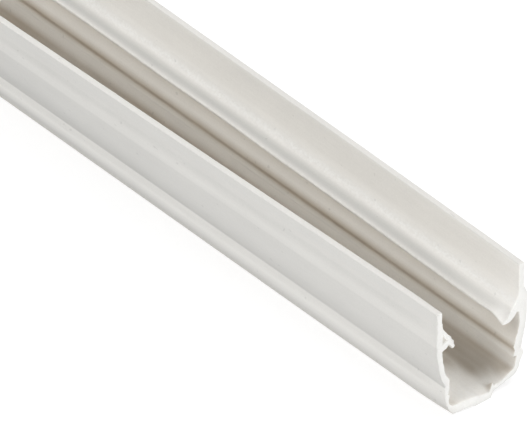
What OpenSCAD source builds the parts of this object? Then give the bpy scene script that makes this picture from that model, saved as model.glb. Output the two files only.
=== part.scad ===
// Slot cover strip, extruded in one piece from plastic: a thin-walled U section that snaps into
// the slot of a framing profile and holds the edge of a panel between its lips.
// X runs along the strip, Y across it and Z up. It stands on its closed face, open side up.
// Sizes are in millimetres, and heights are measured up from the closed face.

/* [Strip] */
// Length of the strip
strip_l = 1000; // [200:50:2000]
// Width over the upper parts of the legs
strip_w = 10; // [9:0.25:14]
// Height of the taller leg
strip_h = 12.6; // [11.6:0.1:15]
// How much lower the other leg stands
leg_drop = 0.7; // [0:0.1:1]
// Thickness of the legs
wall_t = 0.6; // [0.45:0.05:0.75]
// How far the foot of the lower leg stands in, so that this leg leans outwards
low_foot_in = 0.35; // [0:0.05:0.5]
// Radius on the edges of the legs' tops
edge_r = 0.12; // [0:0.02:0.2]

/* [Closed face] */
// Thickness of the closed face
face_t = 0.6; // [0.45:0.05:0.8]
// Width of the flat land along the middle of the closed face
land_w = 3; // [2:0.2:4]
// Height of the closed face's corner below the taller leg
corner_z = 1.1; // [0.8:0.1:1.3]
// Height of its corner below the lower leg
low_corner_z = 0.3; // [0.2:0.05:0.8]
// How far the corners lie inside the legs' upper parts
corner_in = 0.9; // [0.7:0.1:1.2]
// Radius of the corners
corner_r = 1.2; // [0.6:0.1:1.4]

/* [Flanks] */
// Height of the small step where the legs widen below their upper parts
step_z = 9.7; // [9.2:0.1:10.2]
// Height that the step takes
step_h = 0.8; // [0.4:0.1:1.2]
// How far the legs widen at the step
step_out = 0.22; // [0.1:0.02:0.4]
// Height where the flanks turn inwards
draw_z = 6.4; // [5.6:0.1:7]
// How far the flanks still stand out there
draw_out = 0.13; // [0:0.01:0.2]
// Radius of that turn
draw_r = 8; // [2:1:12]
// Height of the waist groove
waist_z = 3.55; // [3.4:0.05:3.9]
// Depth of the waist groove inside the legs' upper parts
waist_in = 0.5; // [0.35:0.05:0.6]
// Height of the bead below the waist
bead_z = 2.95; // [2.6:0.05:3.1]
// How far the bead lies inside the legs' upper parts
bead_in = 0.2; // [0.1:0.05:0.35]
// Radius of the waist and the bead
bead_r = 0.35; // [0.1:0.05:0.5]

/* [Lips] */
// Distance that the lips reach in from the legs
lip_reach = 1.85; // [1.2:0.05:2.2]
// Height of the lips' tips
lip_tip_z = 7.6; // [7.4:0.1:8]
// Height where the line of a lip's upper side meets its leg
lip_top_z = 8.9; // [8.6:0.1:9.4]
// Height of a lip's underside at its leg
lip_root_z = 7.65; // [7.3:0.05:7.8]
// Thickness of the lips at their tips
lip_tip_t = 0.45; // [0.3:0.05:0.6]
// Radius that blends a leg's inner face into its lip
lip_blend_r = 2; // [0.5:0.1:2.4]

/* [Teeth] */
// Height of the teeth's undersides
tooth_z = 2.9; // [2.7:0.05:3.1]
// Height of the teeth's noses above their undersides
tooth_h = 1.05; // [0.9:0.05:1.2]
// Height of the groove along the teeth's faces above their undersides
groove_h = 0.6; // [0.4:0.05:0.7]
// Depth of that groove
groove_d = 0.15; // [0.05:0.01:0.2]
// Extra thickness of the wall at a tooth, measured at the waist
tooth_in = 0.16; // [0.05:0.01:0.3]
// Depth of the undercut below the teeth
undercut_d = 0.36; // [0.2:0.02:0.4]

/* [Hidden] */

// Radius of the lips' tips, the lip roots and the teeth's noses
nose_r = 0.2;
// Radius of the sharp inner corners of the undercut
undercut_r = 0.06;
// Radius at the bottom of the groove along the teeth's faces
groove_r = 0.3;
// Radius that blends the closed face's flat land into its slopes
land_r = 2;
// Greatest turn between two neighbouring points of an arc, in degrees
arc_turn = 12;

half_w = strip_w / 2;
inner_y = half_w - wall_t;
step_y = half_w + step_out;
draw_y = half_w + draw_out;
corner_y = half_w - corner_in;
lip_tip_y = inner_y - lip_reach;
nose_y = half_w - waist_in - wall_t - tooth_in;
undercut_y = nose_y + undercut_d;

function unit(v) = v / norm(v);
function turned(v, a) = [v.x * cos(a) - v.y * sin(a), v.x * sin(a) + v.y * cos(a)];
function reversed(list) = [for (i = [len(list) - 1 : -1 : 0]) list[i]];
function mirrored(list) = [for (p = list) [-p[0], p[1], p[2]]];

// The arc that rounds corner b between a and c. A corner is [y, z, radius], and the arc takes
// no more than half of the shorter side beside it.
function corner_arc(a, b, c) =
    let (
        p = [b[0], b[1]],
        to_a = [a[0], a[1]] - p,
        to_c = [c[0], c[1]] - p,
        u = unit(to_a),
        v = unit(to_c),
        turn = 180 - acos(max(-1, min(1, u * v))),
        room = 0.5 * min(norm(to_a), norm(to_c)),
        r = turn < 0.01 ? 0 : min(b[2], room / tan(turn / 2)),
        centre = p + unit(u + v) * r / cos(turn / 2),
        start = p + u * r * tan(turn / 2) - centre,
        side = cross(u, v) > 0 ? -1 : 1,
        steps = max(1, ceil(turn / arc_turn))
    )
    r < 0.001 ? [p] : [for (i = [0 : steps]) centre + turned(start, side * turn * i / steps)];

function rounded(path) =
    let (n = len(path))
    [for (i = [0 : n - 1]) each corner_arc(path[(i + n - 1) % n], path[i], path[(i + 1) % n])];

// Outer side of the leg at +Y, from its top down to the bead
function outer_side(top_z) = [
    [half_w, top_z, edge_r],
    [half_w, step_z + step_h / 2, step_h],
    [step_y, step_z - step_h / 2, step_h],
    [draw_y, draw_z, draw_r],
    [half_w - waist_in, waist_z, bead_r],
    [half_w - bead_in, bead_z, bead_r]
];

// Inner side of the leg at +Y, with its lip and tooth, from its top down to the undercut
function inner_side(top_z) = [
    [inner_y, top_z, edge_r],
    [inner_y, lip_top_z, lip_blend_r],
    [lip_tip_y, lip_tip_z, nose_r],
    [lip_tip_y + lip_tip_t / 2, lip_tip_z - lip_tip_t, nose_r],
    [inner_y, lip_root_z, nose_r],
    [draw_y - wall_t, draw_z, draw_r],
    [nose_y, tooth_z + tooth_h, nose_r],
    [nose_y + groove_d, tooth_z + groove_h, groove_r],
    [nose_y, tooth_z, undercut_r],
    [undercut_y, tooth_z, undercut_r]
];

// Outer and inner corner of the closed face at +Y
function outer_corner(z) = [[corner_y, z, corner_r]];
function inner_corner(z) = [[corner_y - wall_t / 2, z + face_t, corner_r / 2]];

// The flat middle of the closed face's outer or inner side, from +Y to -Y
function land(z) = [[land_w / 2, z, land_r], [-land_w / 2, z, land_r]];

// Moves a leg's corners inwards, by nothing at the step and by low_foot_in from the waist down
function leaned(list) = [
    for (p = list)
    let (share = max(0, min(1, (step_z - p[1]) / (step_z - waist_z))))
    [p[0] - low_foot_in * share, p[1], p[2]]
];

function section() =
    let (low_z = strip_h - leg_drop)
    rounded(concat(
        outer_side(strip_h),
        outer_corner(corner_z),
        land(0),
        mirrored(outer_corner(low_corner_z)),
        reversed(mirrored(leaned(outer_side(low_z)))),
        mirrored(leaned(inner_side(low_z))),
        mirrored(inner_corner(low_corner_z)),
        reversed(land(face_t)),
        inner_corner(corner_z),
        reversed(inner_side(strip_h))
    ));

module cover_strip() {
    color([0.89, 0.89, 0.87])
        rotate([90, 0, 90])
            linear_extrude(height = strip_l, center = true)
                polygon(section());
}

cover_strip();
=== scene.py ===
# %% [markdown]
# # A slot cover strip
#
# The strip is one long plastic extrusion: a thin U section with inward lips, standing on its
# closed side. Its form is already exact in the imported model, so this lesson starts from a copy of
# that solid and gives it what a real cut length has: edges that the saw dragged, a leg that leans,
# die lines along it and a whiter cut face.

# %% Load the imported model
import math

import bmesh
import bpy
from mathutils import Matrix, Vector, noise


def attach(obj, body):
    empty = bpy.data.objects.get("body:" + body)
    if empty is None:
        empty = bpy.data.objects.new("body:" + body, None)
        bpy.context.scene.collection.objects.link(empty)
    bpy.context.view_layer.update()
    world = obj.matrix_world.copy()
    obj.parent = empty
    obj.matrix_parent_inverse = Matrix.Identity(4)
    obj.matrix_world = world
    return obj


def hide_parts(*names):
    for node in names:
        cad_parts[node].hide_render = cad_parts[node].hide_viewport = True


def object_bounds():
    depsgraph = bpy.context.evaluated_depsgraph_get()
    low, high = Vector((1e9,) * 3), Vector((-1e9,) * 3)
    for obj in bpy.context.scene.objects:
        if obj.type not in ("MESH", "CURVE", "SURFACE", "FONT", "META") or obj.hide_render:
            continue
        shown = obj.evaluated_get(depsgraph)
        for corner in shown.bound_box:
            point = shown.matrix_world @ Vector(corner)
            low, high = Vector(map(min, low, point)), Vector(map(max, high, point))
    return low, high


MM = 0.001
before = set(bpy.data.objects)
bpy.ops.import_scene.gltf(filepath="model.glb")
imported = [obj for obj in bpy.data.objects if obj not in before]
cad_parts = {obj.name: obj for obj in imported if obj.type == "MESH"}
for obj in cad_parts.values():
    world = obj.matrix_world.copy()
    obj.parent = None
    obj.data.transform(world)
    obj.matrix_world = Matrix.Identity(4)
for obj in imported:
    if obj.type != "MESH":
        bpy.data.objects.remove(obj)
cad_low, cad_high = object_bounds()
strip_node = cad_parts["cover_strip"]
half_length = cad_high.x
print("strip:", [round(size / MM, 2) for size in cad_high - cad_low], "mm")

# %% [markdown]
# ## The camera
#
# In the photograph all long edges run parallel, so the view has no perspective and an orthographic
# camera fits. Its scale comes from the width over the legs, and its place from one corner: the
# outer edge of the taller leg's top, at the cut end that faces the camera.

# %% Camera
PHOTO_WIDTH, PHOTO_HEIGHT = 532, 421
PIXELS_PER_MM = 11.48
CORNER_PIXEL = (524.2, 263.4)
AZIMUTH, ELEVATION = math.radians(49.2), math.radians(37.7)
TALL_LEG_Y = 5.0 * MM

camera_back = Vector((
    math.sin(AZIMUTH) * math.cos(ELEVATION),
    -math.cos(AZIMUTH) * math.cos(ELEVATION),
    math.sin(ELEVATION),
))
camera_right = Vector((math.cos(AZIMUTH), math.sin(AZIMUTH), 0))
camera_up = camera_back.cross(camera_right)


def add_camera():
    """An orthographic camera that puts the taller leg's corner on its pixel."""
    data = bpy.data.cameras.new("camera")
    data.type = "ORTHO"
    data.ortho_scale = PHOTO_WIDTH / PIXELS_PER_MM * MM
    data.clip_start, data.clip_end = 0.01, 10
    camera = bpy.data.objects.new("camera", data)
    bpy.context.collection.objects.link(camera)
    corner = Vector((half_length, TALL_LEG_Y, cad_high.z))
    right = (PHOTO_WIDTH / 2 - CORNER_PIXEL[0]) / PIXELS_PER_MM * MM
    up = (CORNER_PIXEL[1] - PHOTO_HEIGHT / 2) / PIXELS_PER_MM * MM
    axes = Matrix((camera_right, camera_up, camera_back)).transposed().to_4x4()
    place = corner + right * camera_right + up * camera_up + camera_back
    camera.matrix_world = Matrix.Translation(place) @ axes
    bpy.context.scene.camera = camera
    return camera


camera = add_camera()
print("view width:", round(camera.data.ortho_scale / MM, 1), "mm")

# %% [markdown]
# ## Floor and light
#
# The photograph is a product shot on white, lit from several sides. A lamp nearly overhead and a
# little behind the strip shines down between the lips, so the channel's floor is light beside the
# lower leg and dark beside the taller one. A fill from the lower leg's side lights both upright
# faces that the camera sees, and a low lamp before the end makes the cut face white but only
# grazes the channel. A dim lamp behind and a dim white room do the rest. The floor glows, so that
# it stays white.

# %% Floor, world and lamps
FLOOR_SIZE = 8.0
FLOOR_COLOUR = (0.4, 0.4, 0.4, 1)
FLOOR_ROUGHNESS = 0.9
FLOOR_GLOW = 0.7
WORLD_STRENGTH = 0.2
LAMP_SIZE = 1.5
LAMP_DISTANCE = 2.4
KEY_POWER, KEY_AZIMUTH, KEY_ELEVATION = 30, 165, 71
FILL_POWER, FILL_AZIMUTH, FILL_ELEVATION = 30, 0, 43
END_POWER, END_AZIMUTH, END_ELEVATION = 22, 92, 9
BACK_POWER, BACK_AZIMUTH, BACK_ELEVATION = 8, 185, 14


def plain_material(name, colour, roughness):
    """A one-colour material for the stage."""
    material = bpy.data.materials.new(name)
    material.use_nodes = True
    shader = material.node_tree.nodes["Principled BSDF"]
    shader.inputs["Base Color"].default_value = colour
    shader.inputs["Roughness"].default_value = roughness
    return material


def add_floor():
    """A plain pale floor under the closed face."""
    shape = bmesh.new()
    bmesh.ops.create_grid(shape, x_segments=1, y_segments=1, size=FLOOR_SIZE / 2)
    mesh = bpy.data.meshes.new("floor")
    shape.to_mesh(mesh)
    shape.free()
    material = plain_material("floor_white", FLOOR_COLOUR, FLOOR_ROUGHNESS)
    shader = material.node_tree.nodes["Principled BSDF"]
    shader.inputs["Emission Color"].default_value = (1, 1, 1, 1)
    shader.inputs["Emission Strength"].default_value = FLOOR_GLOW
    mesh.materials.append(material)
    floor = bpy.data.objects.new("floor", mesh)
    bpy.context.collection.objects.link(floor)
    return floor


def add_world():
    """A weak white light from all round."""
    world = bpy.data.worlds.new("white_room")
    world.use_nodes = True
    background = world.node_tree.nodes["Background"]
    background.inputs["Color"].default_value = (1, 1, 1, 1)
    background.inputs["Strength"].default_value = WORLD_STRENGTH
    bpy.context.scene.world = world


def add_lamp(name, power, azimuth, elevation):
    """A large soft lamp aimed at the cut end, at degrees round from the lower leg's side."""
    turn, rise = math.radians(azimuth), math.radians(elevation)
    level = Vector((math.sin(turn), -math.cos(turn), 0)) * math.cos(rise)
    toward = level + Vector((0, 0, math.sin(rise)))
    data = bpy.data.lights.new(name, "AREA")
    data.energy = power
    data.size = LAMP_SIZE
    lamp = bpy.data.objects.new(name, data)
    lamp.location = Vector((half_length, 0, 0)) + toward * LAMP_DISTANCE
    lamp.rotation_euler = toward.to_track_quat("Z", "Y").to_euler()
    bpy.context.collection.objects.link(lamp)


add_floor()
add_world()
add_lamp("key", KEY_POWER, KEY_AZIMUTH, KEY_ELEVATION)
add_lamp("fill", FILL_POWER, FILL_AZIMUTH, FILL_ELEVATION)
add_lamp("end", END_POWER, END_AZIMUTH, END_ELEVATION)
add_lamp("back", BACK_POWER, BACK_AZIMUTH, BACK_ELEVATION)
bpy.context.scene.view_settings.view_transform = "Standard"

# %% [markdown]
# ## The section, extruded again in short steps
#
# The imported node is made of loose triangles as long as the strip. A welded copy of it gives the
# section at the cut end as one closed line of edges, and its long edges are divided so that the
# line can bend. Extruding that line back along the strip in many steps makes rings of points that
# later steps can move. The rings are close together near the ends, where the saw marked the
# plastic, and wide apart between them.

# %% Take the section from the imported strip
WELD = 0.001 * MM
FLAT_ANGLE = math.radians(0.2)
LONGEST_EDGE = 0.26 * MM


def section_line(node):
    """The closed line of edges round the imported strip's cut end at +X."""
    shape = bmesh.new()
    shape.from_mesh(node.data)
    bmesh.ops.remove_doubles(shape, verts=shape.verts, dist=WELD)
    bmesh.ops.dissolve_limit(
        shape, angle_limit=FLAT_ANGLE, verts=shape.verts, edges=shape.edges
    )
    rest = [point for point in shape.verts if point.co.x < half_length - WELD]
    bmesh.ops.delete(shape, geom=rest, context="VERTS")
    bmesh.ops.delete(shape, geom=shape.faces[:], context="FACES_ONLY")
    for edge in shape.edges[:]:
        cuts = int(edge.calc_length() / LONGEST_EDGE)
        if cuts:
            bmesh.ops.subdivide_edges(shape, edges=[edge], cuts=cuts)
    return shape


strip = section_line(strip_node)
print("section:", len(strip.verts), "points in one line")

# %% Choose where the rings lie
FIRST_STEP = 0.06 * MM
STEP_GROWTH = 1.25
RING_STEPS = [(8 * MM, 0.4 * MM), (62 * MM, 1.6 * MM), (130 * MM, 6 * MM), (1000 * MM, 20 * MM)]


def ring_distances():
    """Distances from a cut end to its rings, up to the middle of the strip."""
    distances = [0]
    step = FIRST_STEP
    while distances[-1] + step < half_length:
        distances.append(distances[-1] + step)
        widest = next(widest for reach, widest in RING_STEPS if distances[-1] < reach)
        step = min(step * STEP_GROWTH, widest)
    return distances


ring_places = [half_length - distance for distance in ring_distances()]
ring_places += [-place for place in reversed(ring_places)]
print("rings:", len(ring_places))

# %% Extrude the line from ring to ring
def extrude_along(shape, places):
    """Extrudes the closed line back along the strip, with a ring at each place."""
    line = shape.edges[:]
    for here, there in zip(places, places[1:]):
        made = bmesh.ops.extrude_edge_only(shape, edges=line)["geom"]
        points = {item for item in made if isinstance(item, bmesh.types.BMVert)}
        bmesh.ops.translate(shape, verts=list(points), vec=(there - here, 0, 0))
        edges = [item for item in made if isinstance(item, bmesh.types.BMEdge)]
        line = [edge for edge in edges if points.issuperset(edge.verts)]


extrude_along(strip, ring_places)
bmesh.ops.recalc_face_normals(strip, faces=strip.faces[:])
print("extruded strip:", len(strip.verts), "points,", len(strip.faces), "faces")

# %% [markdown]
# ## Where shade, shadow and highlights are painted
#
# Three tones lie along the whole strip, so they are painted on the section's points before these
# move. Painted shade darkens the outer faces, in bands that follow the flank's turns, less on the
# tops, and the lips' upper sides. Painted shadow darkens the grooves of the teeth and one side of
# the channel's floor. Painted highlights lighten the bends above the lips and the lips' edges, and
# painted light lightens the floor at the cut. Each place is a round spot on the section, so it
# makes a soft stripe along the strip. A place's row gives how far across and up it lies, its
# radius, all in millimetres, and its strength.

# %% Read a table's rows and the places on the section
def along_rows(rows, where):
    """The value at a place, in a straight line between the rows beside it."""
    for (low, low_value), (high, high_value) in zip(rows, rows[1:]):
        if where <= high:
            share = max(0, where - low) / (high - low)
            return low_value + share * (high_value - low_value)
    return rows[-1][1]


def painted(point, places):
    """How strongly a point lies in the places given, from 0 to 1."""
    across, up = point.co.y / MM, point.co.z / MM
    gaps = [(math.hypot(across - y, up - z) / radius, share) for y, z, radius, share in places]
    return max(share * math.exp(-gap * gap) for gap, share in gaps)


# %% Paint the shade bands
# Painted shade on the outer faces by height in millimetres: most at the bottom rim and just above
# the bead, where the flank turns away from the light.
SHADE_BANDS = [
    (0.0, 1.0), (1.2, 1.0), (1.9, 0.7), (2.6, 0.5), (3.45, 0.46), (3.56, 1.0), (4.2, 0.92),
    (6.0, 0.8), (8.2, 0.76), (8.4, 0.62), (9.4, 0.6), (9.9, 0.67), (12.4, 0.67),
]
# Painted shade on the lips' upper sides, which the legs shadow, and a little on the bends above
# them.
LIP_SHADE = [
    (3.09, 7.98, 0.66, 0.78),
    (-3.05, 7.98, 0.66, 0.78),
    (3.95, 8.80, 0.45, 0.18),
    (-3.92, 8.80, 0.45, 0.18),
]
# The lips' painted shade is half as strong at the cut and full 10 mm back.
LIPS_AT_CUT, LIPS_GROWTH = 0.5, 50
# The tops, which face the light, get less painted shade.
TOPS_TONE = 0.3
TOPS_FROM_Z = 11.5 * MM
UNDERSIDE_TO_Z = 1.4 * MM
# Painted light falloff: the outer faces' painted shade is least at the cut and grows over the first
# 60 mm.
TONE_AT_CUT, TONE_GROWTH = 0.85, 4.5
TONE_GROWS_TO = 60 * MM
OUTWARDS = 0.3
OUTER_TONE = 0.3


def painted_shade_at(point):
    """How much painted shade a point gets: by height on the outer faces, by place on the lips."""
    from_cut = half_length - abs(point.co.x)
    outwards = point.normal.y * math.copysign(1, point.co.y)
    below = point.normal.z < -OUTWARDS and point.co.z < UNDERSIDE_TO_Z
    if point.normal.z > OUTWARDS and point.co.z > TOPS_FROM_Z:
        return TOPS_TONE
    if outwards > OUTWARDS or below:
        growth = TONE_AT_CUT + TONE_GROWTH * min(TONE_GROWS_TO, from_cut)
        return along_rows(SHADE_BANDS, point.co.z / MM) * growth
    return painted(point, LIP_SHADE) * min(1, LIPS_AT_CUT + LIPS_GROWTH * from_cut)


shade_layer = strip.verts.layers.float.new("painted_shade")
strip.normal_update()
for point in strip.verts:
    point[shade_layer] = painted_shade_at(point)
print("dull points:", sum(point[shade_layer] > OUTER_TONE for point in strip.verts))

# %% [markdown]
# ## Painted shadows and highlights
#
# The painted shadows inside the channel start at a distance behind the cut, which is the last
# number of their rows, because light falls in at the open end. Painted shadows and painted light at
# the cut lie at the cut instead, and their last number says how far back they reach.

# %% Where painted shadows and highlights lie
ALWAYS = -2
SHADOW_RAMP = 2
# Painted shadow in the teeth's grooves, on the taller wall under its lip and below its tooth, and
# on the channel's floor.
CHANNEL_SHADOWS = [
    (3.81, 3.80, 0.55, 0.96, ALWAYS),
    (-3.46, 3.88, 0.45, 0.90, ALWAYS),
    (4.35, 5.70, 1.00, 0.30, ALWAYS),
    (3.85, 2.25, 0.80, 0.13, ALWAYS),
    (-3.30, 0.95, 0.80, 0.30, ALWAYS),
    (3.45, 1.60, 0.50, 0.85, -1.4),
    (3.10, 1.30, 0.75, 0.75, -0.8),
    (2.45, 0.95, 0.75, 0.78, 0.6),
    (1.82, 0.74, 0.68, 0.80, 1.2),
    (0.90, 0.64, 0.90, 0.64, 3.6),
    (-1.20, 0.60, 1.60, 0.55, 6.0),
]
# Painted shade on the lower leg's outer bottom corner, close to the floor.
UNDERSIDE_SHADE = [(-3.95, 0.35, 0.60, 0.50)]
# Painted shadows near the cut: beside the torn step's spike, on the taller wall under its lip and
# near its top, and below its tooth.
SHADOWS_AT_CUT = [
    (1.12, 0.80, 0.30, 1.00, 0.9),
    (4.35, 5.20, 1.30, 0.45, 6.0),
    (4.40, 11.20, 1.80, 0.08, 9.0),
    (3.85, 2.25, 0.80, 0.34, 5.0),
]
# Painted highlights on the bends above the lips and on the lips' edges.
HIGHLIGHTS = [
    (3.95, 8.74, 0.36, 0.7),
    (-3.92, 8.74, 0.36, 0.7),
    (2.58, 7.52, 0.16, 0.7),
    (-2.53, 7.52, 0.16, 0.7),
]
# Painted light on the channel's floor at the cut, where light falls in at the open end.
LIGHT_AT_CUT = [(-0.90, 0.62, 1.20, 0.9, 3.2), (0.75, 0.62, 0.60, 0.5, 2.2)]
print("places:", len(CHANNEL_SHADOWS + UNDERSIDE_SHADE + SHADOWS_AT_CUT), "with dust,", len(HIGHLIGHTS + LIGHT_AT_CUT), "painted_highlight")


# %% Paint the shadows and highlights
def behind_cut(places, from_cut):
    """Places that start at a distance from the cut in millimetres, with their shares there."""
    ramps = [(place, max(0, min(1, (from_cut - place[-1]) / SHADOW_RAMP))) for place in places]
    return [(y, z, radius, share * ramp) for (y, z, radius, share, _), ramp in ramps]


def at_cut(places, from_cut):
    """Places that fade away within a reach from the cut in millimetres."""
    return [
        (y, z, radius, share * math.exp(-((from_cut / reach) ** 2)))
        for y, z, radius, share, reach in places
    ]


shadow_layer = strip.verts.layers.float.new("painted_shadow")
highlight_layer = strip.verts.layers.float.new("painted_highlight")
for point in strip.verts:
    from_cut = (half_length - abs(point.co.x)) / MM
    outer = point[shade_layer] > OUTER_TONE
    shadowed = UNDERSIDE_SHADE if outer else behind_cut(CHANNEL_SHADOWS, from_cut) + at_cut(SHADOWS_AT_CUT, from_cut)
    point[shadow_layer] = painted(point, shadowed)
    point[highlight_layer] = painted(point, HIGHLIGHTS if outer else HIGHLIGHTS + at_cut(LIGHT_AT_CUT, from_cut))
print("dusty points:", sum(point[shadow_layer] > 0.5 for point in strip.verts))

# %% [markdown]
# ## The lower leg leans
#
# Thin extruded legs seldom stay parallel. In the photograph the lower leg stands close at the cut
# end and leans further out the further back one looks, so the channel opens up. Here the leg's
# points turn about its foot. The lean rises over the first part of the strip and slowly dies away.

# %% Lean the lower leg
LEAN_FOOT_Z = 1.5 * MM
LEAN_TOP_Z = 11.9 * MM
LEAN_MOST = 2.3 * MM
LEAN_FROM = 3.5 * MM
LEAN_RISE = 125 * MM
LEAN_FALL = 750 * MM
SHOWN_LENGTH = 58.6 * MM


def lean_at(distance):
    """How far the leg's top stands out at a distance from the near cut end."""
    distance = max(0, distance - LEAN_FROM)
    if distance < LEAN_RISE:
        return LEAN_MOST * math.sin(math.pi / 2 * distance / LEAN_RISE)
    fall = min(1, (distance - LEAN_RISE) / LEAN_FALL)
    return LEAN_MOST * (1 + math.cos(math.pi * fall)) / 2


for point in strip.verts:
    if point.co.y < 0 and point.co.z > LEAN_FOOT_Z:
        height = (point.co.z - LEAN_FOOT_Z) / (LEAN_TOP_Z - LEAN_FOOT_Z)
        point.co.y -= lean_at(half_length - point.co.x) * height
print("lean at the photograph's edge:", round(lean_at(SHOWN_LENGTH) / MM, 2), "mm")

# %% [markdown]
# ## What the saw did to the ends
#
# A blunt saw doesn't cut soft plastic cleanly. It dragged the tip of one lip down, curled the other
# up, smeared the edges of the lower leg's tooth and bead, and pulled a step into the closed face.
# Each row below names one point of the section and where the saw left it, in millimetres across
# and up, and then how far along the strip the mark reaches. The points between follow the rows
# near them, weighted by distance, and rows that stay in place keep the rest of the section still.

# %% Where the saw moved the section
SAW_MARKS = {
    "dragged lip": [
        (2.60, 7.55, 2.58, 7.06, 1.1),
        (2.85, 7.20, 2.88, 6.92, 1.1),
        (3.45, 7.36, 3.44, 6.97, 1.1),
        (3.90, 7.50, 3.88, 7.30, 1.1),
        (4.30, 7.62, 4.30, 7.66, 1.5),
        (3.30, 8.10, 3.34, 8.00, 1.1),
        (4.10, 8.90, 4.12, 8.88, 1.5),
    ],
    "curled lip": [
        (-2.50, 7.60, -2.98, 7.66, 2.6),
        (-2.75, 7.20, -3.23, 7.37, 2.6),
        (-3.10, 7.27, -3.42, 7.64, 2.6),
        (-3.50, 7.38, -3.62, 8.00, 2.6),
        (-3.80, 7.46, -3.72, 7.88, 2.6),
        (-4.00, 7.52, -3.92, 7.64, 2.6),
        (-4.22, 7.58, -4.36, 7.60, 2.6),
        (-3.05, 7.98, -3.18, 8.22, 2.6),
        (-3.50, 8.30, -3.52, 8.88, 2.6),
        (-3.95, 8.90, -3.97, 9.65, 2.6),
        (-4.22, 9.45, -4.22, 10.12, 2.6),
        (-4.37, 9.90, -4.36, 10.38, 2.6),
        (-4.40, 10.90, -4.42, 10.90, 2.6),
    ],
    "smeared leg": [
        (-5.18, 9.30, -5.07, 9.40, 2.0),
        (-5.12, 8.40, -5.09, 8.40, 2.0),
        (-4.95, 6.80, -4.99, 6.80, 2.0),
        (-4.50, 4.95, -4.60, 4.95, 2.0),
        (-4.15, 3.55, -4.14, 3.55, 2.0),
        (-4.42, 2.95, -4.13, 2.90, 2.0),
        (-4.36, 2.10, -4.14, 2.15, 2.0),
        (-4.28, 6.20, -4.31, 6.20, 2.0),
        (-3.80, 4.90, -4.02, 4.90, 2.0),
        (-3.42, 3.95, -3.54, 4.05, 2.0),
        (-3.55, 3.50, -3.60, 3.45, 2.0),
        (-3.40, 2.90, -3.68, 2.66, 2.0),
        (-3.72, 2.86, -3.70, 2.60, 2.0),
        (-3.77, 2.30, -3.55, 2.38, 2.0),
        (-3.78, 1.90, -3.64, 1.90, 2.0),
    ],
    "pinched corner": [
        (-4.28, 1.60, -4.02, 1.57, 1.8),
        (-4.20, 1.10, -3.86, 1.06, 1.8),
        (-3.95, 0.60, -3.55, 0.52, 1.8),
        (-3.50, 0.30, -3.18, 0.22, 1.8),
        (-2.60, 0.14, -2.60, 0.12, 1.8),
        (-3.78, 1.35, -3.58, 1.52, 1.8),
        (-3.62, 1.05, -3.36, 1.27, 1.8),
        (-3.20, 0.84, -3.00, 1.10, 1.8),
        (-2.40, 0.74, -2.32, 1.01, 1.8),
        (-1.60, 0.63, -1.58, 0.90, 1.8),
    ],
    "torn step": [
        (-0.70, 0.60, -0.68, 0.76, 1.2),
        (0.20, 0.60, 0.22, 0.54, 1.2),
        (0.75, 0.60, 0.94, 0.46, 1.2),
        (1.05, 0.60, 1.10, 0.80, 0.7),
        (1.25, 0.61, 1.36, 1.30, 0.5),
        (1.50, 0.70, 1.52, 0.95, 1.2),
        (2.20, 0.98, 2.20, 1.00, 1.2),
        (-0.60, 0.00, -0.60, 0.00, 1.2),
        (0.85, 0.00, 0.92, 0.00, 1.2),
        (1.15, 0.00, 1.12, 0.14, 1.2),
        (1.50, 0.04, 1.56, 0.30, 1.2),
        (2.20, 0.32, 2.20, 0.48, 1.2),
        (2.90, 0.62, 2.84, 0.64, 1.2),
    ],
    "unmoved": [
        (4.40, 11.0, 4.40, 11.0, 2.0),
        (5.00, 11.0, 5.00, 11.0, 2.0),
        (5.20, 8.60, 5.20, 8.60, 2.0),
        (5.16, 7.20, 5.16, 7.20, 2.0),
        (4.46, 6.70, 4.46, 6.70, 2.0),
        (4.30, 5.60, 4.30, 5.60, 2.0),
        (4.74, 4.60, 4.74, 4.60, 2.0),
        (3.76, 3.90, 3.76, 3.90, 2.0),
        (3.76, 3.00, 3.76, 3.00, 2.0),
        (4.50, 3.55, 4.50, 3.55, 2.0),
        (4.06, 2.80, 4.06, 2.80, 2.0),
        (4.76, 2.95, 4.76, 2.95, 2.0),
        (3.50, 1.60, 3.50, 1.60, 2.0),
        (4.10, 1.30, 4.10, 1.30, 2.0),
        (-4.40, 11.6, -4.40, 11.6, 2.0),
        (-5.00, 11.0, -5.00, 11.0, 2.0),
    ],
}
saw_rows = [row for rows in SAW_MARKS.values() for row in rows]
print("saw marks:", len(saw_rows), "rows in", len(SAW_MARKS), "groups")

# %% Move the rings near the ends
MARK_SHARPNESS = 4
SMALLEST_GAP = 0.02
MARKED_LENGTH = 9 * MM
FAR_END_SHARE = 0.35
LOWEST_Z = 0


def saw_shift(across, up, distance):
    """The shift across and up that the saw gave a point at a distance from the cut, in mm."""
    total = shift_y = shift_z = 0
    for from_y, from_z, to_y, to_z, reach in saw_rows:
        gap = math.hypot(across - from_y, up - from_z) + SMALLEST_GAP
        weight = gap ** -MARK_SHARPNESS
        fade = math.exp(-(distance / reach) ** 2)
        total += weight
        shift_y += weight * (to_y - from_y) * fade
        shift_z += weight * (to_z - from_z) * fade
    return shift_y / total, shift_z / total


def mark_end(shape, place, share):
    """Applies a share of the saw's marks to the rings near the cut at the place given."""
    for point in shape.verts:
        distance = abs(place - point.co.x)
        if distance < MARKED_LENGTH:
            shift_y, shift_z = saw_shift(point.co.y / MM, point.co.z / MM, distance / MM)
            point.co.y += shift_y * share * MM
            point.co.z = max(LOWEST_Z, point.co.z + shift_z * share * MM)


mark_end(strip, half_length, 1)
mark_end(strip, -half_length, FAR_END_SHARE)
print("lowest point:", round(min(point.co.z for point in strip.verts) / MM, 3), "mm")

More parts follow.
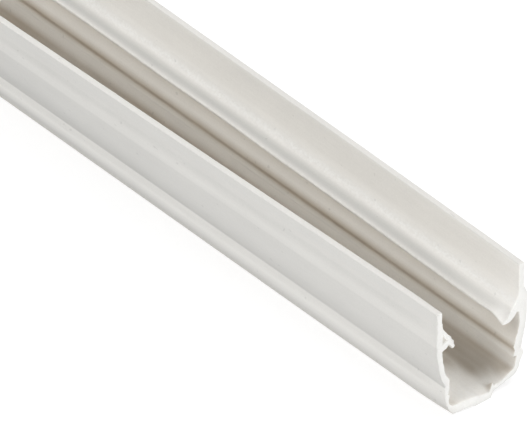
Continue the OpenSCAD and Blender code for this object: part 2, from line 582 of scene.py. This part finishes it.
# %% [markdown]
# ## Rims that wander
#
# The edges of a thin extrusion wander a little, because the plastic is soft when it leaves the die.
# In the photograph the taller leg's top stands higher than the cut end suggests, the closed face's
# low corner rises just behind the cut, and the lips' edges wave. Each table below pairs a distance
# from the cut with a lift there, both in millimetres.

# %% Raise the rims
TOP_LIFT = [(0, 0.14), (6, 0.17), (22, 0.2), (45, 0.16), (300, 0.05)]
CORNER_LIFT = [(0.8, 0), (2.4, 0.16), (8, 0.16), (18, 0.1), (60, 0.06), (300, 0)]
RIM_FROM_Z, RIM_TO_Z, RIM_OUT = 10.2 * MM, 12.6 * MM, 0.4
CORNER_Y, CORNER_Z, CORNER_BLEND = -1.5 * MM, 1.9 * MM, 1.2 * MM


def raise_rims(shape):
    """Lifts the taller leg's top and the closed face's low corner a little along the strip."""
    for point in shape.verts:
        from_cut = (half_length - point.co.x) / MM
        if point.co.y > 0 and point.co.z > RIM_FROM_Z:
            share = (point.co.z - RIM_FROM_Z) / (RIM_TO_Z - RIM_FROM_Z)
            lift = along_rows(TOP_LIFT, from_cut) * MM * share
            point.co.z += lift
            point.co.y += RIM_OUT * lift
        aside = max(0, min(1, (CORNER_Y - point.co.y) / CORNER_BLEND))
        low = max(0, min(1, (CORNER_Z - point.co.z) / CORNER_BLEND))
        point.co.z += along_rows(CORNER_LIFT, from_cut) * MM * aside * low


raise_rims(strip)
print("top now:", round(max(point.co.z for point in strip.verts) / MM, 2), "mm up")

# %% Wave the lips
LIP_LIFT = [
    (0.4, 0), (1.6, 0.14), (3.2, 0), (9.5, 0), (20, 0.2), (29, 0.2), (38, 0.32), (80, 0.2)
]
TIP_Z, TIP_REACH_Z, LIP_ROOT_Y = 7.5 * MM, 1.2 * MM, 4.2 * MM
WAVE_SIZE, WAVE_LENGTH = 0.06 * MM, 9 * MM
RIPPLE_SHARE, RIPPLES_TO_A_WAVE, RIPPLE_PLACE = 0.5, 3, 5
TALL_SIDE_PLACE, LOW_SIDE_PLACE = 7, 31


def tip_share(point):
    """How much of a lip's movement a point takes: all at the tip and none at the root."""
    near_tip = max(0, 1 - abs(point.co.z - TIP_Z) / TIP_REACH_Z)
    return near_tip * max(0, min(1, (LIP_ROOT_Y - abs(point.co.y)) / MM))


def wave_lips(shape):
    """Moves the tips of the lips up and down along the strip."""
    for point in shape.verts:
        tip = tip_share(point)
        if tip:
            side = TALL_SIDE_PLACE if point.co.y > 0 else LOW_SIDE_PLACE
            along = point.co.x / WAVE_LENGTH
            wave = noise.noise(Vector((along, side, 0)))
            ripple = noise.noise(Vector((along * RIPPLES_TO_A_WAVE, side, RIPPLE_PLACE)))
            lift = along_rows(LIP_LIFT, (half_length - point.co.x) / MM) * MM
            point.co.z += (lift + WAVE_SIZE * (wave + RIPPLE_SHARE * ripple)) * tip


wave_lips(strip)
print("waved points:", sum(tip_share(point) > 0 for point in strip.verts))

# %% [markdown]
# ## Ragged cuts
#
# At the cut the outline is slightly ragged and its edges are rounded over. A burr stands out along
# its lower edge, where the saw broke through last, and the taller leg's flank is smeared outwards.
# The burr's table pairs a place across with a length, and the smear's a height with a width.

# %% Roughen the cuts
RAGGED_SIZE = 0.05 * MM
RAGGED_PITCH = 0.35 * MM
RAGGED_DEPTH = 0.9 * MM
ASIDE_PITCH, ASIDE_SHARE = 0.8, 0.5
NOISE_SEED = 3
BURR = [
    (-4.2, 0.17), (-3.4, 0.08), (-2.4, 0.08), (-1.6, 0.27), (0, 0.32), (1, 0.27), (1.5, 0)
]
BURR_FROM_Z, BURR_TO_Z = 1.6 * MM, 0.6 * MM
SMEAR = [(0.6, 0), (1.2, 0.12), (2.4, 0.12), (3.4, 0.17), (9.2, 0.17), (10.2, 0)]
SMEAR_DEPTH = 2 * MM


def rough_end(shape, place, share):
    """Makes the cut ragged, with a burr along its lower edge and a smeared outer flank."""
    toward_middle = -1 if place > 0 else 1
    for point in shape.verts:
        distance = abs(place - point.co.x)
        if distance < MARKED_LENGTH:
            fade = math.exp(-distance / RAGGED_DEPTH)
            where = Vector((point.co.y, point.co.z, place)) / RAGGED_PITCH
            back = RAGGED_SIZE * noise.noise(where)
            if point[shade_layer] > OUTER_TONE:
                low = (BURR_FROM_Z - point.co.z) / (BURR_FROM_Z - BURR_TO_Z)
                burr = along_rows(BURR, point.co.y / MM) * MM * max(0, min(1, low))
                back -= share * burr
                if point.co.y > 0:
                    smear = along_rows(SMEAR, point.co.z / MM) * MM
                    point.co.y += share * smear * math.exp(-((distance / SMEAR_DEPTH) ** 2))
            point.co.x += toward_middle * back * fade
            rough = noise.noise_vector(where * ASIDE_PITCH) * RAGGED_SIZE * ASIDE_SHARE * fade
            point.co.y += rough.y
            point.co.z = max(LOWEST_Z, point.co.z + rough.z)


# Blender seeds noise_vector from the clock, so a seed of its own makes all runs alike.
noise.seed_set(NOISE_SEED)
rough_end(strip, half_length, 1)
rough_end(strip, -half_length, FAR_END_SHARE)
print("length now:", round((max(point.co.x for point in strip.verts) * 2) / MM, 2), "mm")

# %% Round the cut edges over and close the ends
EDGE_ROUND = 0.05 * MM
FLAKE = [(-4.38, 9.62), (-3.72, 8.54), (-4.38, 8.26)]
FLAKE_SLOPE = 0.12 * MM
FLAKE_DEPTH = 0.13 * MM
# Painted shade in the flake's hollow.
FLAKE_SHADE = 0.35
cut_layer = strip.faces.layers.float.new("cut_face")


def close_end(shape, near_end):
    """Draws the last ring in, fills it with flat faces and marks them as cut."""
    open_edges = [edge for edge in shape.edges if edge.is_boundary]
    rim = [edge for edge in open_edges if (edge.verts[0].co.x > 0) == near_end]
    points = {point for edge in rim for point in edge.verts}
    inward = {point: -point.normal * EDGE_ROUND for point in points}
    for point, shift in inward.items():
        point.co += Vector((0, shift.y, shift.z))
    made = bmesh.ops.triangle_fill(shape, use_beauty=True, edges=rim)["geom"]
    faces = [item for item in made if isinstance(item, bmesh.types.BMFace)]
    for face in faces:
        face[cut_layer] = 1
        face.smooth = False
    return faces


def sink_flake(shape, faces):
    """Sinks a shallow triangle into the curled lip's cut face, where a flake broke out."""
    near_faces = [face for face in faces if face.calc_center_median().x > 0]
    sides = []
    for (from_y, from_z), (to_y, to_z) in zip(FLAKE, FLAKE[1:] + FLAKE[:1]):
        corner = Vector((half_length, from_y * MM, from_z * MM))
        inward = Vector((0, to_z - from_z, from_y - to_y)).normalized()
        sides.append((corner, inward))
        edges = dict.fromkeys(edge for face in near_faces for edge in face.edges)
        points = dict.fromkeys(point for face in near_faces for point in face.verts)
        cut = bmesh.ops.bisect_plane(
            shape, geom=[*points, *edges, *near_faces], plane_co=corner, plane_no=inward
        )
        near_faces = [item for item in cut["geom"] if isinstance(item, bmesh.types.BMFace)]
    flake = []
    for face in near_faces:
        middle = face.calc_center_median()
        if all((middle - corner).dot(inward) > 0 for corner, inward in sides):
            flake.append(face)
    bmesh.ops.inset_region(shape, faces=flake, thickness=FLAKE_SLOPE, depth=-FLAKE_DEPTH)
    for face in flake:
        face[cut_layer] = 0
        for point in face.verts:
            point[shadow_layer] = FLAKE_SHADE
    print("flake:", len(flake), "faces sunk")


for face in strip.faces:
    face.smooth = True
strip.normal_update()
cut_faces = close_end(strip, True) + close_end(strip, False)
bmesh.ops.recalc_face_normals(strip, faces=strip.faces[:])
sink_flake(strip, cut_faces)
bmesh.ops.triangulate(strip, faces=strip.faces[:])
open_edges = [edge for edge in strip.edges if not edge.is_manifold]
print("faces:", len(strip.faces), "of which cut:", len(cut_faces), "open edges:", len(open_edges))

# %% [markdown]
# ## The plastic
#
# The strip is off-white and matt. Its plastic is a little warm, so light that bounces about in the
# channel turns brownish there, as in the photograph. The die left fine lines along it. All patterns
# are procedural and read the object's own coordinates. A small class lets the shader's sums be
# written like any other sum.

# %% Sockets that can be added and multiplied
class Socket:
    """A shader socket whose sums add Math nodes to its tree."""

    def __init__(self, tree, socket):
        self.tree = tree
        self.socket = socket

    def math(self, operation, first, second):
        """One Math node on two values or sockets."""
        return make(self.tree, "ShaderNodeMath", {"operation": operation}, {0: first, 1: second})

    def __add__(self, other):
        return self.math("ADD", self, other)

    def __sub__(self, other):
        return self.math("SUBTRACT", self, other)

    def __rsub__(self, other):
        return self.math("SUBTRACT", other, self)

    def __mul__(self, other):
        return self.math("MULTIPLY", self, other)

    __radd__ = __add__
    __rmul__ = __mul__


def make(tree, kind, settings, inputs, output=0):
    """Adds a node, sets it, fills its sockets and gives back one of its outputs."""
    node = tree.nodes.new(kind)
    for name, value in settings.items():
        setattr(node, name, value)
    for name, value in inputs.items():
        if isinstance(value, Socket):
            tree.links.new(value.socket, node.inputs[name])
        else:
            node.inputs[name].default_value = value
    return Socket(tree, node.outputs[output])


# %% Patterns on the plastic
def stretched(tree, place, stretch):
    """The object's coordinates in millimetres, with X scaled for lengthwise patterns."""
    scale = (stretch / MM, 1 / MM, 1 / MM)
    return make(tree, "ShaderNodeVectorMath", {"operation": "MULTIPLY"}, {0: place, 1: scale})


def pattern(tree, where, scale, detail=2):
    """Noise from 0 to 1 with a number of features to the millimetre."""
    return make(
        tree, "ShaderNodeTexNoise", {}, {"Vector": where, "Scale": scale, "Detail": detail}, "Fac"
    )


def smooth_step(tree, value, low, high):
    """0 below low, 1 above high and a smooth rise between them."""
    return make(
        tree,
        "ShaderNodeMapRange",
        {"interpolation_type": "SMOOTHSTEP"},
        {"Value": value, "From Min": low, "From Max": high},
    )


# %% The plastic's tones
PLASTIC = (0.90, 0.882, 0.843, 1)
# The colour of the painted shade.
SHADED_PLASTIC = (0.48, 0.475, 0.455, 1)
# The colour of the painted highlights.
HIGHLIGHT_PLASTIC = (0.93, 0.925, 0.90, 1)
CUT_PLASTIC = (0.88, 0.875, 0.85, 1)
# The colour of the painted shadows, brownish like light bounced about in the channel.
SHADOW_COLOUR = (0.41, 0.335, 0.245, 1)


def painted_tone(tree, name):
    """A tone that was painted on the points or faces."""
    return make(tree, "ShaderNodeAttribute", {"attribute_name": name}, {}, "Fac")


def blend(tree, share, first, second):
    """A mix of two colours."""
    return make(tree, "ShaderNodeMix", {"data_type": "RGBA"}, {0: share, 6: first, 7: second}, 2)


# %% The patterns of the die, the grain and the specks
LINES = {"stretch": 0.012, "scale": 1.6, "detail": 4}
FINE_LINES = {"stretch": 0.05, "scale": 7, "detail": 2}
MOTTLE = {"stretch": 0.4, "scale": 0.35, "detail": 3}
GRAIN = {"stretch": 1, "scale": 6, "detail": 2}
SPECKS = {"stretch": 0.8, "scale": 2.3, "detail": 0}
# The grain that breaks up the painted highlights.
HIGHLIGHT_GRAIN = {"stretch": 0.8, "scale": 4, "detail": 3}
SPECKS_FROM, SPECKS_TO = 0.80, 0.86
HIGHLIGHT_GRAIN_FROM, HIGHLIGHT_GRAIN_TO = 0.35, 0.65


def plastic_patterns(tree):
    """The patterns by name; all but the specks and the highlight grain are centred on 0."""
    place = make(tree, "ShaderNodeTexCoord", {}, {}, "Object")

    def noise_of(kind):
        where = stretched(tree, place, kind["stretch"])
        return pattern(tree, where, kind["scale"], kind["detail"])

    return {
        "lines": noise_of(LINES) - 0.5,
        "fine lines": noise_of(FINE_LINES) - 0.5,
        "mottle": noise_of(MOTTLE) - 0.5,
        "grain": noise_of(GRAIN) - 0.5,
        "specks": smooth_step(tree, noise_of(SPECKS), SPECKS_FROM, SPECKS_TO),
        "highlight grain": smooth_step(tree, noise_of(HIGHLIGHT_GRAIN), HIGHLIGHT_GRAIN_FROM, HIGHLIGHT_GRAIN_TO),
    }


# %% The plastic's colour
HIGHLIGHT_LEAST, HIGHLIGHT_BY_GRAIN = 0.4, 0.8
SHADOW_MEAN, SHADOW_BY_MOTTLE = 0.85, 0.6
# The cut face keeps part of the painted shade near its outer rim.
CUT_KEEPS_SHADE = 0.4
SHADES = {"lines": 0.07, "fine lines": 0.05, "mottle": 0.09, "grain": 0.09, "specks": -0.12}


def plastic_colour(tree, patterns, cut):
    """The plastic with painted shade, highlights and shadows, or cut, and then varied by the
    patterns.
    """
    painted_shade = painted_tone(tree, "painted_shade")
    painted_highlight = painted_tone(tree, "painted_highlight") * (HIGHLIGHT_LEAST + HIGHLIGHT_BY_GRAIN * patterns["highlight grain"])
    painted_shadow = painted_tone(tree, "painted_shadow") * (SHADOW_MEAN + SHADOW_BY_MOTTLE * patterns["mottle"])
    colour = blend(tree, painted_shade, PLASTIC, SHADED_PLASTIC)
    colour = blend(tree, painted_highlight, colour, HIGHLIGHT_PLASTIC)
    colour = blend(tree, painted_shadow, colour, SHADOW_COLOUR)
    colour = blend(tree, cut * (1 - CUT_KEEPS_SHADE * painted_shade), colour, CUT_PLASTIC)
    shade = 1 + sum(strength * patterns[name] for name, strength in SHADES.items())
    settings = {"operation": "SCALE"}
    return make(tree, "ShaderNodeVectorMath", settings, {0: colour, "Scale": shade})


# %% The plastic's gloss and height
ROUGHNESS, ROUGHNESS_BY_LINES, ROUGHER_CUT = 0.46, 0.12, 0.2
HEIGHTS = {"lines": 0.010, "fine lines": 0.004, "grain": 0.003}
CUT_HEIGHT = 0.02


def plastic_material():
    """Off-white plastic with die lines, mottling, specks, painted shade and light, and a whiter
    cut.
    """
    material = bpy.data.materials.new("strip_plastic")
    material.use_nodes = True
    tree = material.node_tree
    shader = tree.nodes["Principled BSDF"]
    patterns = plastic_patterns(tree)
    cut = painted_tone(tree, "cut_face")
    colour = plastic_colour(tree, patterns, cut)
    roughness = ROUGHNESS + ROUGHNESS_BY_LINES * patterns["lines"] + ROUGHER_CUT * cut
    height = sum(size * patterns[name] for name, size in HEIGHTS.items())
    height = height + CUT_HEIGHT * cut * patterns["fine lines"]
    bump = make(tree, "ShaderNodeBump", {}, {"Height": height, "Distance": MM}, "Normal")
    tree.links.new(colour.socket, shader.inputs["Base Color"])
    tree.links.new(roughness.socket, shader.inputs["Roughness"])
    tree.links.new(bump.socket, shader.inputs["Normal"])
    return material


# %% Put the shape in a mesh
strip_mesh = bpy.data.meshes.new("cover_strip_finished")
strip.to_mesh(strip_mesh)
strip.free()
strip_piece = bpy.data.objects.new("cover_strip_finished", strip_mesh)
bpy.context.collection.objects.link(strip_piece)
strip_mesh.materials.append(plastic_material())
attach(strip_piece, "root")
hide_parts("cover_strip")
